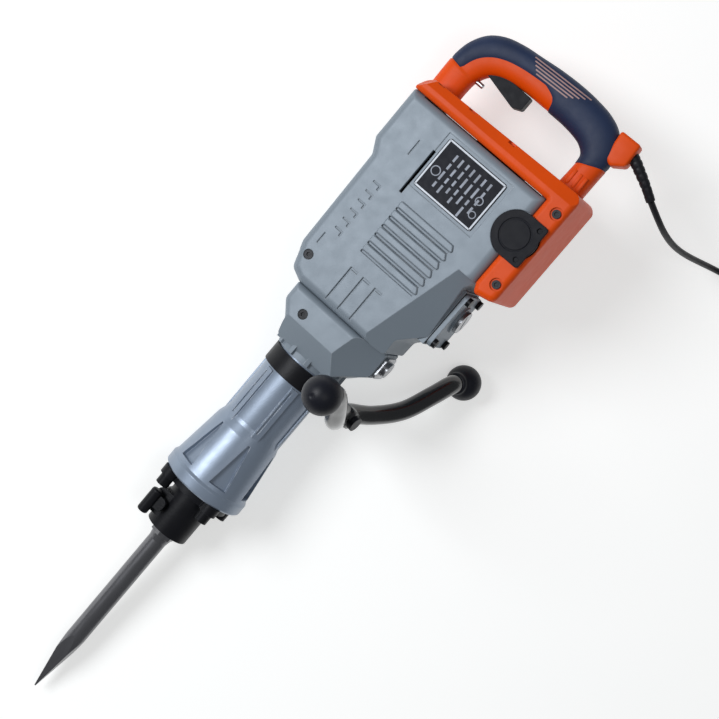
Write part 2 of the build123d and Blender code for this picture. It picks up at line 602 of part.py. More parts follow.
def clamp_band():
    ring = rod_z(*BAND_Z, 46.0) - rod_z(BAND_Z[0] - 1, BAND_Z[1] + 1, TUBE_R + SLIP)
    lug = block(42.5, 66, -15, 15, *BAND_Z) - rod_z(BAND_Z[0] - 1, BAND_Z[1] + 1, 44)
    lug = lug - block(40, 70, -1.5, 1.5, BAND_Z[0] - 1, BAND_Z[1] + 1) - rod_x(48, 70, 5, 0, BAND_MIDDLE)
    return set_side_handle(ring + lug, canted=False)


def clamp_bolt():
    nut = rod_x(99.4, 106, 10, 0, BAND_MIDDLE)
    return set_side_handle(rod_x(50, 99.4, 5 - SLIP, 0, BAND_MIDDLE) + nut, canted=False)


def side_handle_bar():
    right = [(x, y, z) for x, y, z, r in BOW[1:]]
    path = [(x, -y, z) for x, y, z in reversed(right)] + [BOW[0][:3]] + right
    ends = [(right[-1][0], -KNOB_Y, right[-1][2]), (right[-1][0], KNOB_Y, right[-1][2])]
    points = [ends[0]] + path + [ends[1]]
    radii = [r for *_, r in reversed(BOW[1:])] + [r for *_, r in BOW]
    line = FilletPolyline(*points, radius=radii)
    start = Plane(origin=points[0], z_dir=line % 0)
    bar = sweep(start * Circle(BAR_R), path=line)
    hub = rod_x(66.4, 99, 14, 0, BAND_MIDDLE)
    return set_side_handle((bar + hub) - rod_x(60, 110, 5.0, 0, BAND_MIDDLE))


def side_handle_knobs():
    x, z = BOW[-1][0], BOW[-1][2]
    return solid_list(*[set_side_handle(Pos(x, s * KNOB_Y, z) * Sphere(KNOB_R)
                                        - rod_y(*sorted((s * 100, s * KNOB_Y)), BAR_R, x, z)) for s in (-1, 1)])


# ---- laying the tool down ---------------------------------------------------------------------
# The tool lies on its back edge, the far knob and the front flange. The floor is Z = 0, X follows the
# hammer's axis towards the D-handle, and the origin is under the middle of the tool.
REST_SHIFT = (-523.07, 49.0, 19.73)


def floor_frame():
    roll, pitch = radians(LIE_ROLL), radians(LIE_PITCH)
    front = (-sin(pitch) * sin(roll), -cos(roll), sin(roll) * cos(pitch))
    return Plane(origin=REST_SHIFT, x_dir=front, z_dir=(cos(pitch), 0, sin(pitch))).location


# ---- mains lead, in floor coordinates ---------------------------------------------------------
BOOT_LINE = [(492.3, -70.8, 189.4, 7.9), (490.6, -85.3, 196.0, 7.8), (483.0, -101.0, 199.5, 7.2),
             (473.5, -119.0, 201.0, 6.4), (464.0, -136.0, 199.7, 5.4)]
CORD_ROUTE = [(464.0, -136.0, 199.7), (454.5, -160.0, 190.0), (449.0, -188.0, 165.0), (450.0, -220.0, 127.0),
              (456.5, -252.0, 89.0), (466.5, -286.0, 49.0), (476.0, -318.0, 17.0), (484.0, -352.0, 4.2),
              (488.0, -388.0, 4.2), (488.5, -426.0, 4.2)]
COIL_AT = (545.0, -430.0)
COIL_RADII = (34.0, 62.5)
COIL_HEIGHT = 26.5
TAIL_ROUTE = [(599.0, -453.0, 20.5), (607.0, -429.0, 20.0), (612.0, -405.0, 18.5)]
PLUG_AT = (612.0, -405.0, 18.5)
PLUG_R = 18.5


def rounded_path(points):
    """Straight runs joined by tangent arcs, each as large as its two runs allow."""
    corners = [Vector(*p) for p in points]
    radii = []
    for before, here, after in zip(corners, corners[1:], corners[2:]):
        turn = radians((here - before).get_angle(after - here))
        radii.append(0.45 * min((here - before).length, (after - here).length) / tan(turn / 2))
    print("cord radii", [round(r) for r in radii])
    return FilletPolyline(*points, radius=radii)


def tube(points):
    path = rounded_path(points)
    return sweep(Plane(origin=points[0], z_dir=path % 0) * Circle(CORD_D / 2), path=path)


def cord_boot():
    """A soft strain relief that bends with the lead and tapers to it."""
    places = [Vector(*p[:3]) for p in BOOT_LINE]
    headings = [places[1] - places[0]]
    headings += [after - before for before, after in zip(places, places[2:])]
    headings += [Vector(*CORD_ROUTE[1]) - Vector(*CORD_ROUTE[0])]
    rings = [Plane(origin=p[:3], z_dir=h) * Circle(p[3]) for p, h in zip(BOOT_LINE, headings)]
    return loft(rings)


def coil_tie():
    """A strap round the coil's turns."""
    middle = sum(COIL_RADII) / 2
    frame = Box(31.5, 12, COIL_HEIGHT + 1.5) - Box(29.5, 14, COIL_HEIGHT - 0.5)
    return Pos(*COIL_AT, 0) * Rot(0, 0, 80) * (Pos(middle, 0, COIL_HEIGHT / 2 + 0.75) * frame)


def cord_coil():
    ring = Pos(*COIL_AT, COIL_HEIGHT / 2) * (Cylinder(COIL_RADII[1], COIL_HEIGHT)
                                             - Cylinder(COIL_RADII[0], COIL_HEIGHT + 2))
    return (ring - coil_tie()).solids().sort_by(SortBy.VOLUME)[-1]


def plug():
    x, y, z = PLUG_AT
    tail = loft([Plane(origin=(x, y, z), z_dir=(0, 1, 0)) * Circle(5.2),
                 Plane(origin=(x, y + 22, z), z_dir=(0, 1, 0)) * Circle(9)])
    return tail + rod_y(y + 22, y + 56, PLUG_R, x, z)


def plug_pins():
    x, y, z = PLUG_AT
    return solid_list(*[rod_y(y + 56, y + 75, 2.4, x + s * 9.5, z) for s in (-1, 1)])


# ---- assembly ---------------------------------------------------------------------------------
TOOL_PIECES = (
    chisel, front_cover, front_cover_bolts, hex_bush, tool_retainer, barrel, cylinder_liner, nose_damper,
    bolt_guide, impact_bolt, striker, piston, piston_ring, wrist_pin, connecting_rod, crank_pin,
    armature_shaft, drive_pinion, armature_core, commutator, cooling_fan, stator, bearings, layshaft,
    layshaft_wheel, crank_gear, crank_shaft, crank_case, motor_housing, nameplate,
    tail_cover, brush_caps, brush_holders, carbon_brushes, handle_grip, trigger, trigger_pin, switch_body,
    lock_button, crank_gasket, crank_cover, crank_cover_screws, oil_cap, grease_cover, case_screws,
    tail_screws, handle_screws, clamp_band, clamp_bolt, side_handle_bar, side_handle_knobs)


def tool_pieces():
    pieces = {make.__name__: make() for make in TOOL_PIECES}
    pieces["handle_shell_near"] = handle_shell(-1)
    pieces["handle_shell_far"] = handle_shell(1)
    return pieces


def lead_pieces():
    coil = cord_coil()
    return {"cord_boot": cord_boot(), "cord": tube(CORD_ROUTE) - coil, "cord_coil": coil, "coil_tie": coil_tie(),
            "cord_tail": tube(TAIL_ROUTE) - coil, "plug": plug(), "plug_pins": plug_pins()}


if __name__ == "__main__":
    os.makedirs("parts", exist_ok=True)
    lie_down = floor_frame()
    for name, piece in tool_pieces().items():
        export_step(lie_down * piece, f"parts/{name}.step")
    for name, piece in lead_pieces().items():
        export_step(piece, f"parts/{name}.step")
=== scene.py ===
"""Looks of the electric jackhammer: its finishes, the mains lead, the D-handle, the side handle and the trim.

Pieces are placed in tool coordinates, in millimetres: z runs along the hammer's axis from the chisel's point
to the D-handle, x points to the front and -y to the side with the rating plate. tool() turns such a place
into the row frame, in metres, where the tool lies on the floor.
"""

import json
import random
from math import cos, pi, radians, sin

import bmesh
import bpy
from mathutils import Matrix, Vector
from mathutils.bvhtree import BVHTree


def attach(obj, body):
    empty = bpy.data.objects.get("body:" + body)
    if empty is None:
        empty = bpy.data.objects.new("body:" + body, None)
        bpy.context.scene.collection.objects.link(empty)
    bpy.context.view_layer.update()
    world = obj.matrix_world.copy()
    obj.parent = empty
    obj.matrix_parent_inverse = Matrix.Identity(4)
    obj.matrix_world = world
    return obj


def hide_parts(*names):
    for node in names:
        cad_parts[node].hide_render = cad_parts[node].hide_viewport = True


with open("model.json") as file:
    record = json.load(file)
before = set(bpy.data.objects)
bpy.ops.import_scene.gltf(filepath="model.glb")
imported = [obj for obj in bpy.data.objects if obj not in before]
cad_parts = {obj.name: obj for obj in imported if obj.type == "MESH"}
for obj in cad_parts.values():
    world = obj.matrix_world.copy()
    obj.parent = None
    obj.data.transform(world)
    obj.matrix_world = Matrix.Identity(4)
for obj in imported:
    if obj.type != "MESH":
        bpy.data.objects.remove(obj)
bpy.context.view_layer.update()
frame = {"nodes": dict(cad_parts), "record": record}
NODES = frame["nodes"]

# ---- how the tool lies, as in part.py ---------------------------------------------------------
ROLL, PITCH = radians(24.84), radians(6.4)
SHIFT = Vector((-523.07, 49.0, 19.73))
AXIS = Vector((cos(PITCH), 0, sin(PITCH)))
FRONT = Vector((-sin(PITCH) * sin(ROLL), -cos(ROLL), sin(ROLL) * cos(PITCH)))
FAR = AXIS.cross(FRONT)
HANDLE_SWING, HANDLE_CANT, BAND_MIDDLE = radians(-9.0), radians(11.6), 554.0


def tool(x, y, z):
    return (SHIFT + FRONT * x + FAR * y + AXIS * z) / 1000


def side_handle_place(x, y, z):
    """A place on the side handle, which is canted on its bolt and swung about the barrel."""
    band = Vector((0, 0, BAND_MIDDLE))
    canted = Matrix.Rotation(HANDLE_CANT, 3, "X") @ Vector((x, y, z - BAND_MIDDLE)) + band
    return tool(*(Matrix.Rotation(HANDLE_SWING, 3, "Z") @ canted))


# ---- camera -----------------------------------------------------------------------------------
CAMERA_AT = (0.1765, 0.4669, 2.2096)
CAMERA_RIGHT = Vector((0.6275, -0.7655, 0.1422))
CAMERA_UP = Vector((0.7775, 0.6064, -0.1669))
CAMERA_BACK = Vector((0.0415, 0.2153, 0.9757))
CAMERA_LENS = 85.12


def make_camera():
    data = bpy.data.cameras.new("camera")
    data.lens = CAMERA_LENS
    data.sensor_width = 36
    cam = bpy.data.objects.new("camera", data)
    bpy.context.scene.collection.objects.link(cam)
    turn = Matrix((CAMERA_RIGHT, CAMERA_UP, CAMERA_BACK)).transposed()
    cam.matrix_world = Matrix.Translation(CAMERA_AT) @ turn.to_4x4()
    bpy.context.scene.camera = cam


make_camera()


# ---- materials --------------------------------------------------------------------------------
def linear(r, g, b):
    """An 8-bit sRGB colour as linear RGBA."""
    def one(c):
        c /= 255
        return c / 12.92 if c <= 0.04045 else ((c + 0.055) / 1.055) ** 2.4
    return (one(r), one(g), one(b), 1.0)


class Nodes:
    """A short way to add and join shader nodes."""

    def __init__(self, name):
        self.material = bpy.data.materials.new(name)
        self.material.use_nodes = True
        self.tree = self.material.node_tree
        self.shader = self.tree.nodes["Principled BSDF"]

    def add(self, kind, inputs=None, **settings):
        node = self.tree.nodes.new(kind)
        for key, value in settings.items():
            setattr(node, key, value)
        for key, value in (inputs or {}).items():
            if isinstance(value, bpy.types.NodeSocket):
                self.tree.links.new(value, node.inputs[key])
            else:
                node.inputs[key].default_value = value
        return node

    def noise(self, scale, detail=3.0, where=None):
        where = where or self.add("ShaderNodeTexCoord").outputs["Object"]
        node = self.add("ShaderNodeTexNoise", {"Vector": where, "Scale": scale, "Detail": detail})
        return node.outputs[0]

    def remap(self, value, low, high, to_low, to_high):
        node = self.add("ShaderNodeMapRange", {0: value, 1: low, 2: high, 3: to_low, 4: to_high})
        return node.outputs[0]

    def mix(self, factor, a, b):
        node = self.add("ShaderNodeMix", data_type="RGBA")
        for key, value in ((0, factor), (6, a), (7, b)):
            if isinstance(value, bpy.types.NodeSocket):
                self.tree.links.new(value, node.inputs[key])
            else:
                node.inputs[key].default_value = value
        return node.outputs[2]

    def math(self, operation, a, b=0.0):
        return self.add("ShaderNodeMath", {0: a, 1: b}, operation=operation).outputs[0]

    def link(self, socket, name):
        self.tree.links.new(socket, self.shader.inputs[name])


def shade(colour, factor):
    return tuple(c * factor for c in colour[:3]) + (1.0,)


def finish_material(name, rgb, rough, metal, mottle, mottle_scale, grain, bump, edge=0.0009,
                    worn=None, wear=0.0, coat=0.0, stretch=None, specular=0.5):
    """A moulded, cast, painted or machined surface.

    Colour drifts by mottle, roughness follows a middle-sized noise, grain is the fine bump, edges are
    rounded by edge metres, and worn is the colour that shows where edges have rubbed, by the share wear.
    stretch is a turn and a scale for the noise, for a surface with a direction.
    """
    n = Nodes(name)
    colour = linear(*rgb)
    where = n.add("ShaderNodeTexCoord").outputs["Object"]
    if stretch:
        turn, scale = stretch
        where = n.add("ShaderNodeMapping", {"Vector": where, "Rotation": turn, "Scale": scale}).outputs[0]
    drift = n.noise(mottle_scale, 4.0, where)
    middle = n.noise(mottle_scale * 7, 4.0, where)
    fine = n.noise(grain, 3.0, where)
    patch = n.remap(drift, 0.35, 0.65, 0.0, 1.0)
    tone = n.mix(patch, shade(colour, 1 - mottle), shade(colour, 1 + mottle * 0.7))
    speck = n.remap(middle, 0.55, 0.72, 0.0, 0.35)
    tone = n.mix(speck, tone, shade(colour, 1 - 1.6 * mottle))
    soft = n.add("ShaderNodeBevel", {"Radius": edge}, samples=4).outputs[0]
    if worn:
        flat = n.add("ShaderNodeNewGeometry").outputs["Normal"]
        same = n.add("ShaderNodeVectorMath", {0: soft, 1: flat}, operation="DOT_PRODUCT").outputs["Value"]
        rubbed = n.remap(same, 0.80, 0.985, 1.0, 0.0)
        patchy = n.math("MULTIPLY", rubbed, n.remap(middle, 0.42, 0.62, 0.0, wear))
        tone = n.mix(patchy, tone, linear(*worn))
    n.link(tone, "Base Color")
    n.link(n.remap(middle, 0.3, 0.7, max(rough - 0.03, 0.03), min(rough + 0.04, 1.0)), "Roughness")
    lumps = n.add("ShaderNodeBump", {"Strength": bump, "Distance": 0.0005, "Height": fine, "Normal": soft})
    n.link(lumps.outputs[0], "Normal")
    for socket, value in (("Metallic", metal), ("Coat Weight", coat), ("Coat Roughness", 0.25),
                          ("Specular IOR Level", specular)):
        n.shader.inputs[socket].default_value = value
    return n.material


ALONG_TOOL = ((0, -PITCH, 0), (0.12, 1.0, 1.0))
SILVER_WORN = (214, 220, 226)

# name: (rgb, roughness, metal, mottle, mottle scale, grain, bump, edge), then what differs from the defaults
FINISHES = {
    "casing_silver": (((130, 141, 151), 0.48, 0.15, 0.03, 9.0, 900.0, 0.20, 0.0016),
                      dict(worn=SILVER_WORN, wear=0.6)),
    "barrel_silver": (((138, 151, 168), 0.36, 0.40, 0.05, 11.0, 620.0, 0.22, 0.0014),
                      dict(worn=SILVER_WORN, wear=0.8, coat=0.15)),
    "orange_shell": (((228, 78, 2), 0.46, 0.0, 0.05, 12.0, 1100.0, 0.14, 0.0014),
                     dict(worn=(240, 130, 70), wear=0.4, specular=0.2)),
    "soft_grip": (((34, 48, 78), 0.52, 0.0, 0.14, 16.0, 1500.0, 0.30, 0.0010),
                  dict(worn=(60, 76, 108), wear=0.4, specular=0.3)),
    "black_plastic": (((9, 11, 20), 0.42, 0.0, 0.16, 15.0, 1200.0, 0.16, 0.0012),
                      dict(worn=(52, 58, 74), wear=0.4, specular=0.12)),
    "black_steel": (((16, 17, 22), 0.40, 0.1, 0.2, 18.0, 500.0, 0.28, 0.0012),
                    dict(worn=(80, 84, 92), wear=0.5, specular=0.25)),
    "chisel_steel": (((118, 118, 121), 0.30, 0.9, 0.24, 22.0, 420.0, 0.30, 0.0010),
                     dict(worn=(176, 176, 174), wear=0.8, stretch=ALONG_TOOL)),
    "screw_steel": (((22, 23, 27), 0.38, 0.4, 0.2, 30.0, 900.0, 0.2, 0.0005),
                    dict(worn=(100, 102, 108), wear=0.5, specular=0.3)),
    "bright_steel": (((170, 172, 176), 0.28, 0.95, 0.12, 30.0, 1400.0, 0.12, 0.0006),
                     dict(worn=(220, 220, 220), wear=0.5)),
    "gasket": (((30, 30, 32), 0.75, 0.0, 0.2, 30.0, 1500.0, 0.3, 0.0003), {}),
    "plate_black": (((14, 17, 28), 0.45, 0.0, 0.1, 22.0, 1500.0, 0.06, 0.0003), dict(specular=0.12)),
    "plate_print": (((196, 202, 210), 0.45, 0.1, 0.08, 40.0, 1500.0, 0.05, 0.0001), {}),
    "plate_mark": (((132, 138, 150), 0.45, 0.1, 0.2, 90.0, 1500.0, 0.05, 0.0001), {}),
    "copper": (((190, 112, 70), 0.3, 0.95, 0.15, 40.0, 1200.0, 0.15, 0.0003), {}),
    "iron_core": (((92, 82, 74), 0.5, 0.6, 0.25, 40.0, 900.0, 0.3, 0.0003), {}),
    "fan_plastic": (((70, 72, 74), 0.5, 0.0, 0.1, 30.0, 900.0, 0.2, 0.0003), {}),
    "lead_rubber": (((20, 21, 27), 0.48, 0.0, 0.14, 30.0, 1800.0, 0.2, 0.0003), dict(specular=0.3)),
    "pin_brass": (((200, 190, 160), 0.25, 0.95, 0.1, 60.0, 1500.0, 0.1, 0.0003), {}),
    "grip_stripe": (((176, 142, 138), 0.5, 0.0, 0.12, 60.0, 1500.0, 0.12, 0.0003), {}),
    "gloss_black": (((10, 11, 14), 0.16, 0.0, 0.1, 15.0, 700.0, 0.05, 0.0008), dict(coat=0.6)),
    "knob_black": (((20, 22, 31), 0.42, 0.0, 0.14, 20.0, 1300.0, 0.2), dict(specular=0.25)),
}
MATERIALS = {name: finish_material(name, *numbers, **rest) for name, (numbers, rest) in FINISHES.items()}

for entry in frame["record"]["subparts"]:
    node = NODES[entry["node"]]
    node.data.materials.clear()
    node.data.materials.append(MATERIALS[entry["material_slot"]])


# ---- mesh helpers -----------------------------------------------------------------------------
def new_object(name, data, body, slot, material=None):
    obj = bpy.data.objects.new(name, data)
    bpy.context.scene.collection.objects.link(obj)
    data.materials.append(MATERIALS[material or slot])
    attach(obj, body)
    return obj


def mesh_object(name, bm, body, slot, material=None, smooth=True):
    bmesh.ops.remove_doubles(bm, verts=bm.verts, dist=1e-7)
    bmesh.ops.recalc_face_normals(bm, faces=bm.faces)
    data = bpy.data.meshes.new(name)
    bm.to_mesh(data)
    bm.free()
    for face in data.polygons:
        face.use_smooth = smooth
    return new_object(name, data, body, slot, material)


def add_loft(bm, rings, closed=False):
    """Skins rings of row-frame points, with flat ends unless the rings close on themselves."""
    rows = [[bm.verts.new(p) for p in ring] for ring in rings]
    pairs = list(zip(rows, rows[1:])) + ([(rows[-1], rows[0])] if closed else [])
    for a, b in pairs:
        for k in range(len(a)):
            m = (k + 1) % len(a)
            bm.faces.new((a[k], a[m], b[m], b[k]))
    if not closed:
        bm.faces.new(rows[0])
        bm.faces.new(rows[-1][::-1])


def catmull(a, b, c, d, t):
    """The place at share t from b to c on a Catmull-Rom curve."""
    return 0.5 * (2 * b + (c - a) * t + (2 * a - 5 * b + 4 * c - d) * t * t + (3 * b - 3 * c + d - a) * t ** 3)


def smooth_line(points, steps):
    """Points on a Catmull-Rom curve through the given ones."""
    padded = [points[0] * 2 - points[1], *points, points[-1] * 2 - points[-2]]
    spans = zip(padded, padded[1:], padded[2:], padded[3:])
    return [catmull(*span, k / steps) for span in spans for k in range(steps)] + [points[-1]]


def angles(count):
    return [2 * pi * k / count for k in range(count)]


def spin_rings(centre, axis, profile, turns=40):
    """Rings round an axis; each profile point is (place along the axis, radius)."""
    axis = axis.normalized()
    u = axis.orthogonal().normalized()
    v = axis.cross(u)
    return [[centre + axis * s + (u * cos(a) + v * sin(a)) * r for a in angles(turns)] for s, r in profile]


def crisp(obj, width, segments=3, angle=32):
    """Rounds a piece's sharp edges with real geometry."""
    bevel = obj.modifiers.new("bevel", "BEVEL")
    bevel.width = width
    bevel.segments = segments
    bevel.limit_method = "ANGLE"
    bevel.angle_limit = radians(angle)
    return obj


def add_plate(bm, corners, y0, y1):
    """A flat plate in tool coordinates from (x, z) corners."""
    add_loft(bm, [[tool(x, y, z) for x, z in corners] for y in (y0, y1)])


# ---- mains lead -------------------------------------------------------------------------------
CORD_D = 8.4
CORD_ROUTE = [(464.0, -136.0, 199.7), (454.5, -160.0, 190.0), (449.0, -188.0, 165.0), (450.0, -220.0, 127.0),
              (456.5, -252.0, 89.0), (466.5, -286.0, 49.0), (476.0, -318.0, 17.0), (484.0, -352.0, 4.2),
              (488.0, -388.0, 4.2), (488.5, -426.0, 4.2)]
TAIL_ROUTE = [(599.0, -453.0, 20.5), (607.0, -429.0, 20.0), (612.0, -405.0, 18.5)]
COIL_AT = (545.0, -430.0)
COIL_INNER, COIL_PITCH = 38.6, 9.0
COIL_TURNS = 8
TURN_POINTS = 14
COIL_START = radians(176)
LAYER_TURNS, LAST_LAYER, LAYER_RISE = 3, 2, 8.8
WAVE, WAVE_RATE = 1.2, 2.3


def coil_points():
    """Turns that wind inwards and outwards, layer on layer, and leave at the top for the plug."""
    places = []
    for k in range(COIL_TURNS * TURN_POINTS + 1):
        turn = k / TURN_POINTS
        layer = min(int(turn // LAYER_TURNS), LAST_LAYER)
        across = turn - LAYER_TURNS * layer
        inwards = 2 - across if layer % 2 == 0 else across
        r = COIL_INNER + COIL_PITCH * max(min(inwards, 2.15), -0.1)
        z = CORD_D / 2 + LAYER_RISE * layer + WAVE * sin(WAVE_RATE * turn)
        a = COIL_START + 2 * pi * turn
        places.append((COIL_AT[0] + r * cos(a), COIL_AT[1] + r * sin(a), max(z, CORD_D / 2)))
    return places


def nurbs(name, places, radius):
    data = bpy.data.curves.new(name, "CURVE")
    data.dimensions = "3D"
    spline = data.splines.new("NURBS")
    spline.points.add(len(places) - 1)
    for point, (x, y, z) in zip(spline.points, places):
        point.co = (x / 1000, y / 1000, z / 1000, 1)
    spline.order_u = 3
    spline.use_endpoint_u = True
    spline.resolution_u = 6
    data.bevel_depth = radius / 1000
    data.bevel_resolution = 5
    data.use_fill_caps = True
    return data


def make_lead():
    places = CORD_ROUTE + coil_points()[1:] + TAIL_ROUTE
    lead = new_object("lead", nurbs("lead", places, CORD_D / 2), "housing", "lead_rubber")
    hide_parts("cord", "cord_coil", "cord_tail")
    return lead


lead = make_lead()


# ---- boot -------------------------------------------------------------------------------------
BOOT_LINE = [(492.3, -70.8, 189.4, 7.9), (490.6, -85.3, 196.0, 7.8), (483.0, -101.0, 199.5, 7.2),
             (473.5, -119.0, 201.0, 6.4), (464.0, -136.0, 199.7, 5.4)]


BOOT_STEPS, BOOT_SIDES = 14, 32
GROOVED, GROOVE_EVERY, GROOVE_DEPTH = range(9, 48), 6, 0.0006
COLLAR_FROM, COLLAR_PROUD = 51, 0.0004


def make_boot():
    """The strain relief: a tapered sleeve with moulded rings and a collar at its thin end."""
    line = smooth_line([Vector(p[:3]) / 1000 for p in BOOT_LINE], BOOT_STEPS)
    radii = smooth_line([Vector((p[3], 0, 0)) / 1000 for p in BOOT_LINE], BOOT_STEPS)
    rings = []
    for k, (p, r) in enumerate(zip(line, radii)):
        heading = (line[min(k + 1, len(line) - 1)] - line[max(k - 1, 0)]).normalized()
        u = heading.cross(Vector((0, 0, 1))).normalized()
        v = heading.cross(u)
        size = r.x - (GROOVE_DEPTH if k in GROOVED and k % GROOVE_EVERY in (0, 1) else 0)
        if k >= COLLAR_FROM:
            size += COLLAR_PROUD
        rings.append([p + (u * cos(a) + v * sin(a)) * size for a in angles(BOOT_SIDES)])
    bm = bmesh.new()
    add_loft(bm, rings)
    boot = mesh_object("strain_relief", bm, "housing", "lead_rubber")
    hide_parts("cord_boot")


make_boot()


# ---- D-handle ---------------------------------------------------------------------------------
GRIP_HALF = 19.0
# Stations along the handle, from the back leg to the front one: (outer x, outer z, inner x, inner z).
D_STATIONS = [(-109, 938, -67, 938), (-109.5, 960, -67, 958), (-109, 982, -65, 974), (-104, 1007, -57, 989),
              (-91, 1028, -45, 997), (-71, 1041, -32, 1001), (-46, 1047.5, -18, 1003), (-18, 1050.5, -2, 1004),
              (12, 1053.5, 16, 1004), (42, 1054.5, 36, 1004), (70, 1053, 55, 1003.5), (94, 1049, 72, 1001.5),
              (114, 1040, 85, 998), (128, 1023, 95, 991), (133, 1001, 98, 983), (133, 977, 98, 968),
              (133, 950, 97, 948)]
BACK_SPLIT, FRONT_SPLIT = 1.9, 14.4  # where the grip begins and ends, as places along D_STATIONS
HANDLE_STEPS = 150
SHELL_UNDER = 2.4  # how far the shell lies under the grip's outer face
# the orange rim inside the grip: its width, where it ends and the length over which it thins
RIM, RIM_END, RIM_FADE = 15.5, 8.7, 0.9


def squared(share, power):
    """Pushes a sine or cosine outwards, for a section between an ellipse and a rectangle."""
    return abs(share) ** (2 / power) * (1 if share >= 0 else -1)


def d_section(station, half, count=28, power=2.6):
    ox, oz, ix, iz = station
    middle = Vector(((ox + ix) / 2, (oz + iz) / 2))
    reach = (Vector((ox, oz)) - Vector((ix, iz))) / 2
    ring = []
    for a in angles(count):
        p = middle + reach * squared(sin(a), power)
        ring.append(tool(p.x, half * squared(cos(a), power), p.y))
    return ring


def d_station(t):
    """A station at place t along D_STATIONS, smoothly."""
    k = min(int(t), len(D_STATIONS) - 2)
    near = [Vector(D_STATIONS[min(max(k + j, 0), len(D_STATIONS) - 1)]) for j in (-1, 0, 1, 2)]
    return catmull(*near, t - k)


def trimmed(station, out_cut, in_cut):
    """A station drawn in from its outer and inner edges by millimetres."""
    ox, oz, ix, iz = station
    along = Vector((ox - ix, oz - iz)).normalized()
    outer = Vector((ox, oz)) - along * out_cut
    inner = Vector((ix, iz)) + along * in_cut
    return (*outer, *inner)


def make_d_handle():
    """The orange shell goes all the way round; the soft grip lies over its upper bar.

    Returns the grip's surface, which the stripes are laid on.
    """
    last = len(D_STATIONS) - 1
    shell, grip = bmesh.new(), bmesh.new()
    rings = []
    for k in range(HANDLE_STEPS + 1):
        t = last * k / HANDLE_STEPS
        under = BACK_SPLIT < t < FRONT_SPLIT
        station = trimmed(d_station(t), SHELL_UNDER, 0.0) if under else d_station(t)
        rings.append(d_section(station, GRIP_HALF - (1.6 if under else 0.4)))
    add_loft(shell, rings)
    rings = []
    for k in range(HANDLE_STEPS + 1):
        t = BACK_SPLIT + (FRONT_SPLIT - BACK_SPLIT) * k / HANDLE_STEPS
        rim = RIM * max(0.0, min(1.0, (RIM_END - t) / RIM_FADE)) ** 0.5 - 0.9
        ease = min(1.0, k / 3, (HANDLE_STEPS - k) / 3)
        swell = 0.6 * sin(pi * k / HANDLE_STEPS)
        station = trimmed(d_station(t), 0.8 * (1 - ease) - 0.2, rim)
        rings.append(d_section(station, GRIP_HALF - 0.9 * (1 - ease) + swell, power=2.4))
    add_loft(grip, rings)
    surface = BVHTree.FromBMesh(grip)
    shell = mesh_object("handle_body", shell, "housing", "orange_shell")
    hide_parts("handle_shell_near", "handle_shell_far")
    grip = mesh_object("handle_overmould", grip, "housing", "soft_grip")
    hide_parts("handle_grip")
    return surface


GRIP_SURFACE = make_d_handle()


def make_gland():
    """The collar at the handle's outer corner, where the mains lead comes out."""
    bm = bmesh.new()
    corners = [(118, 1043), (148, 1043.5), (150, 1012), (134, 1001), (122, 1006)]
    add_plate(bm, corners, -15.5, 15.5)
    crisp(mesh_object("lead_gland", bm, "housing", "orange_shell"), 0.0035, 4)


make_gland()


def on_grip(x, side, z, proud):
    """The place on the grip's side at x and z, standing proud by millimetres."""
    start = tool(x, side * 40, z)
    inwards = (tool(x, 0, z) - start).normalized()
    return GRIP_SURFACE.ray_cast(start, inwards)[0] - inwards * proud / 1000


RIB_PLACES, RIB_FOOT, RIB_HEAD = (108, 117, 125), 952, 972
STRIPES, STRIPE_STEPS, STRIPE_SLOPE = 5, 24, 0.034
# a stripe's section: (height off its middle line, how far it stands proud)
STRIPE_SECTION = ((-0.9, -0.4), (-0.8, 0.3), (0.8, 0.3), (0.9, -0.4))


def make_leg_trim():
    """Raised ribs on the front leg, and the stripes on the grip's sides."""
    ribs, stripes = bmesh.new(), bmesh.new()
    for s in (-1, 1):
        for x in RIB_PLACES:
            corners = [(x - 2.2, RIB_FOOT), (x + 2.2, RIB_FOOT), (x + 1.6, RIB_HEAD), (x - 2.6, RIB_HEAD)]
            add_plate(ribs, corners, s * (GRIP_HALF - 1.2), s * (GRIP_HALF + 0.6))
    crisp(mesh_object("handle_leg_ribs", ribs, "housing", "orange_shell"), 0.0006, 2)
    for s in (-1, 1):
        for k in range(STRIPES):
            x0, x1, z0 = -23.5 + 3.8 * k, 65 - 6 * k, 1044.5 - 3.8 * k
            rings = []
            for j in range(STRIPE_STEPS + 1):
                x = x0 + (x1 - x0) * j / STRIPE_STEPS
                z = z0 + STRIPE_SLOPE * (x - x0)
                rings.append([on_grip(x, s, z + rise, proud) for rise, proud in STRIPE_SECTION])
            add_loft(stripes, rings)
    mesh_object("grip_stripes", stripes, "housing", "soft_grip", "grip_stripe", smooth=False)


make_leg_trim()


# ---- side handle ------------------------------------------------------------------------------
KNOB_X, KNOB_Z = 122.8, 628.7
BAR_LINE = [(KNOB_X, -186, KNOB_Z, 11.5), (KNOB_X, -166, KNOB_Z, 12), (122.5, -149, 625, 12.5),
            (120, -124, 607, 12.5), (113, -88, 578, 12.5), (98, -46, 560, 12.5), (84, 0, 555, 13)]
BAR_LINE += [(x, -y, z, r) for x, y, z, r in BAR_LINE[-2::-1]]


BAR_STEPS, BAR_SIDES = 10, 36
HUB_FROM, HUB_TO = 66, 99  # the hub on the bolt, as x
HUB_PROFILE = [(0, 0.0125), (0.0012, 0.0138), (0.028, 0.0138), (0.0326, 0.0125)]
KNOB_AT, BALL_RADIUS, BALL_STEPS = 186, 0.0239, 24
KNOB_NECK = [(-0.0270, 0.0128), (-0.0262, 0.0142), (-0.0225, 0.0150)]
KNOB_DIMPLE = [(0.02340, 0.0026), (0.0229, 0.0010)]


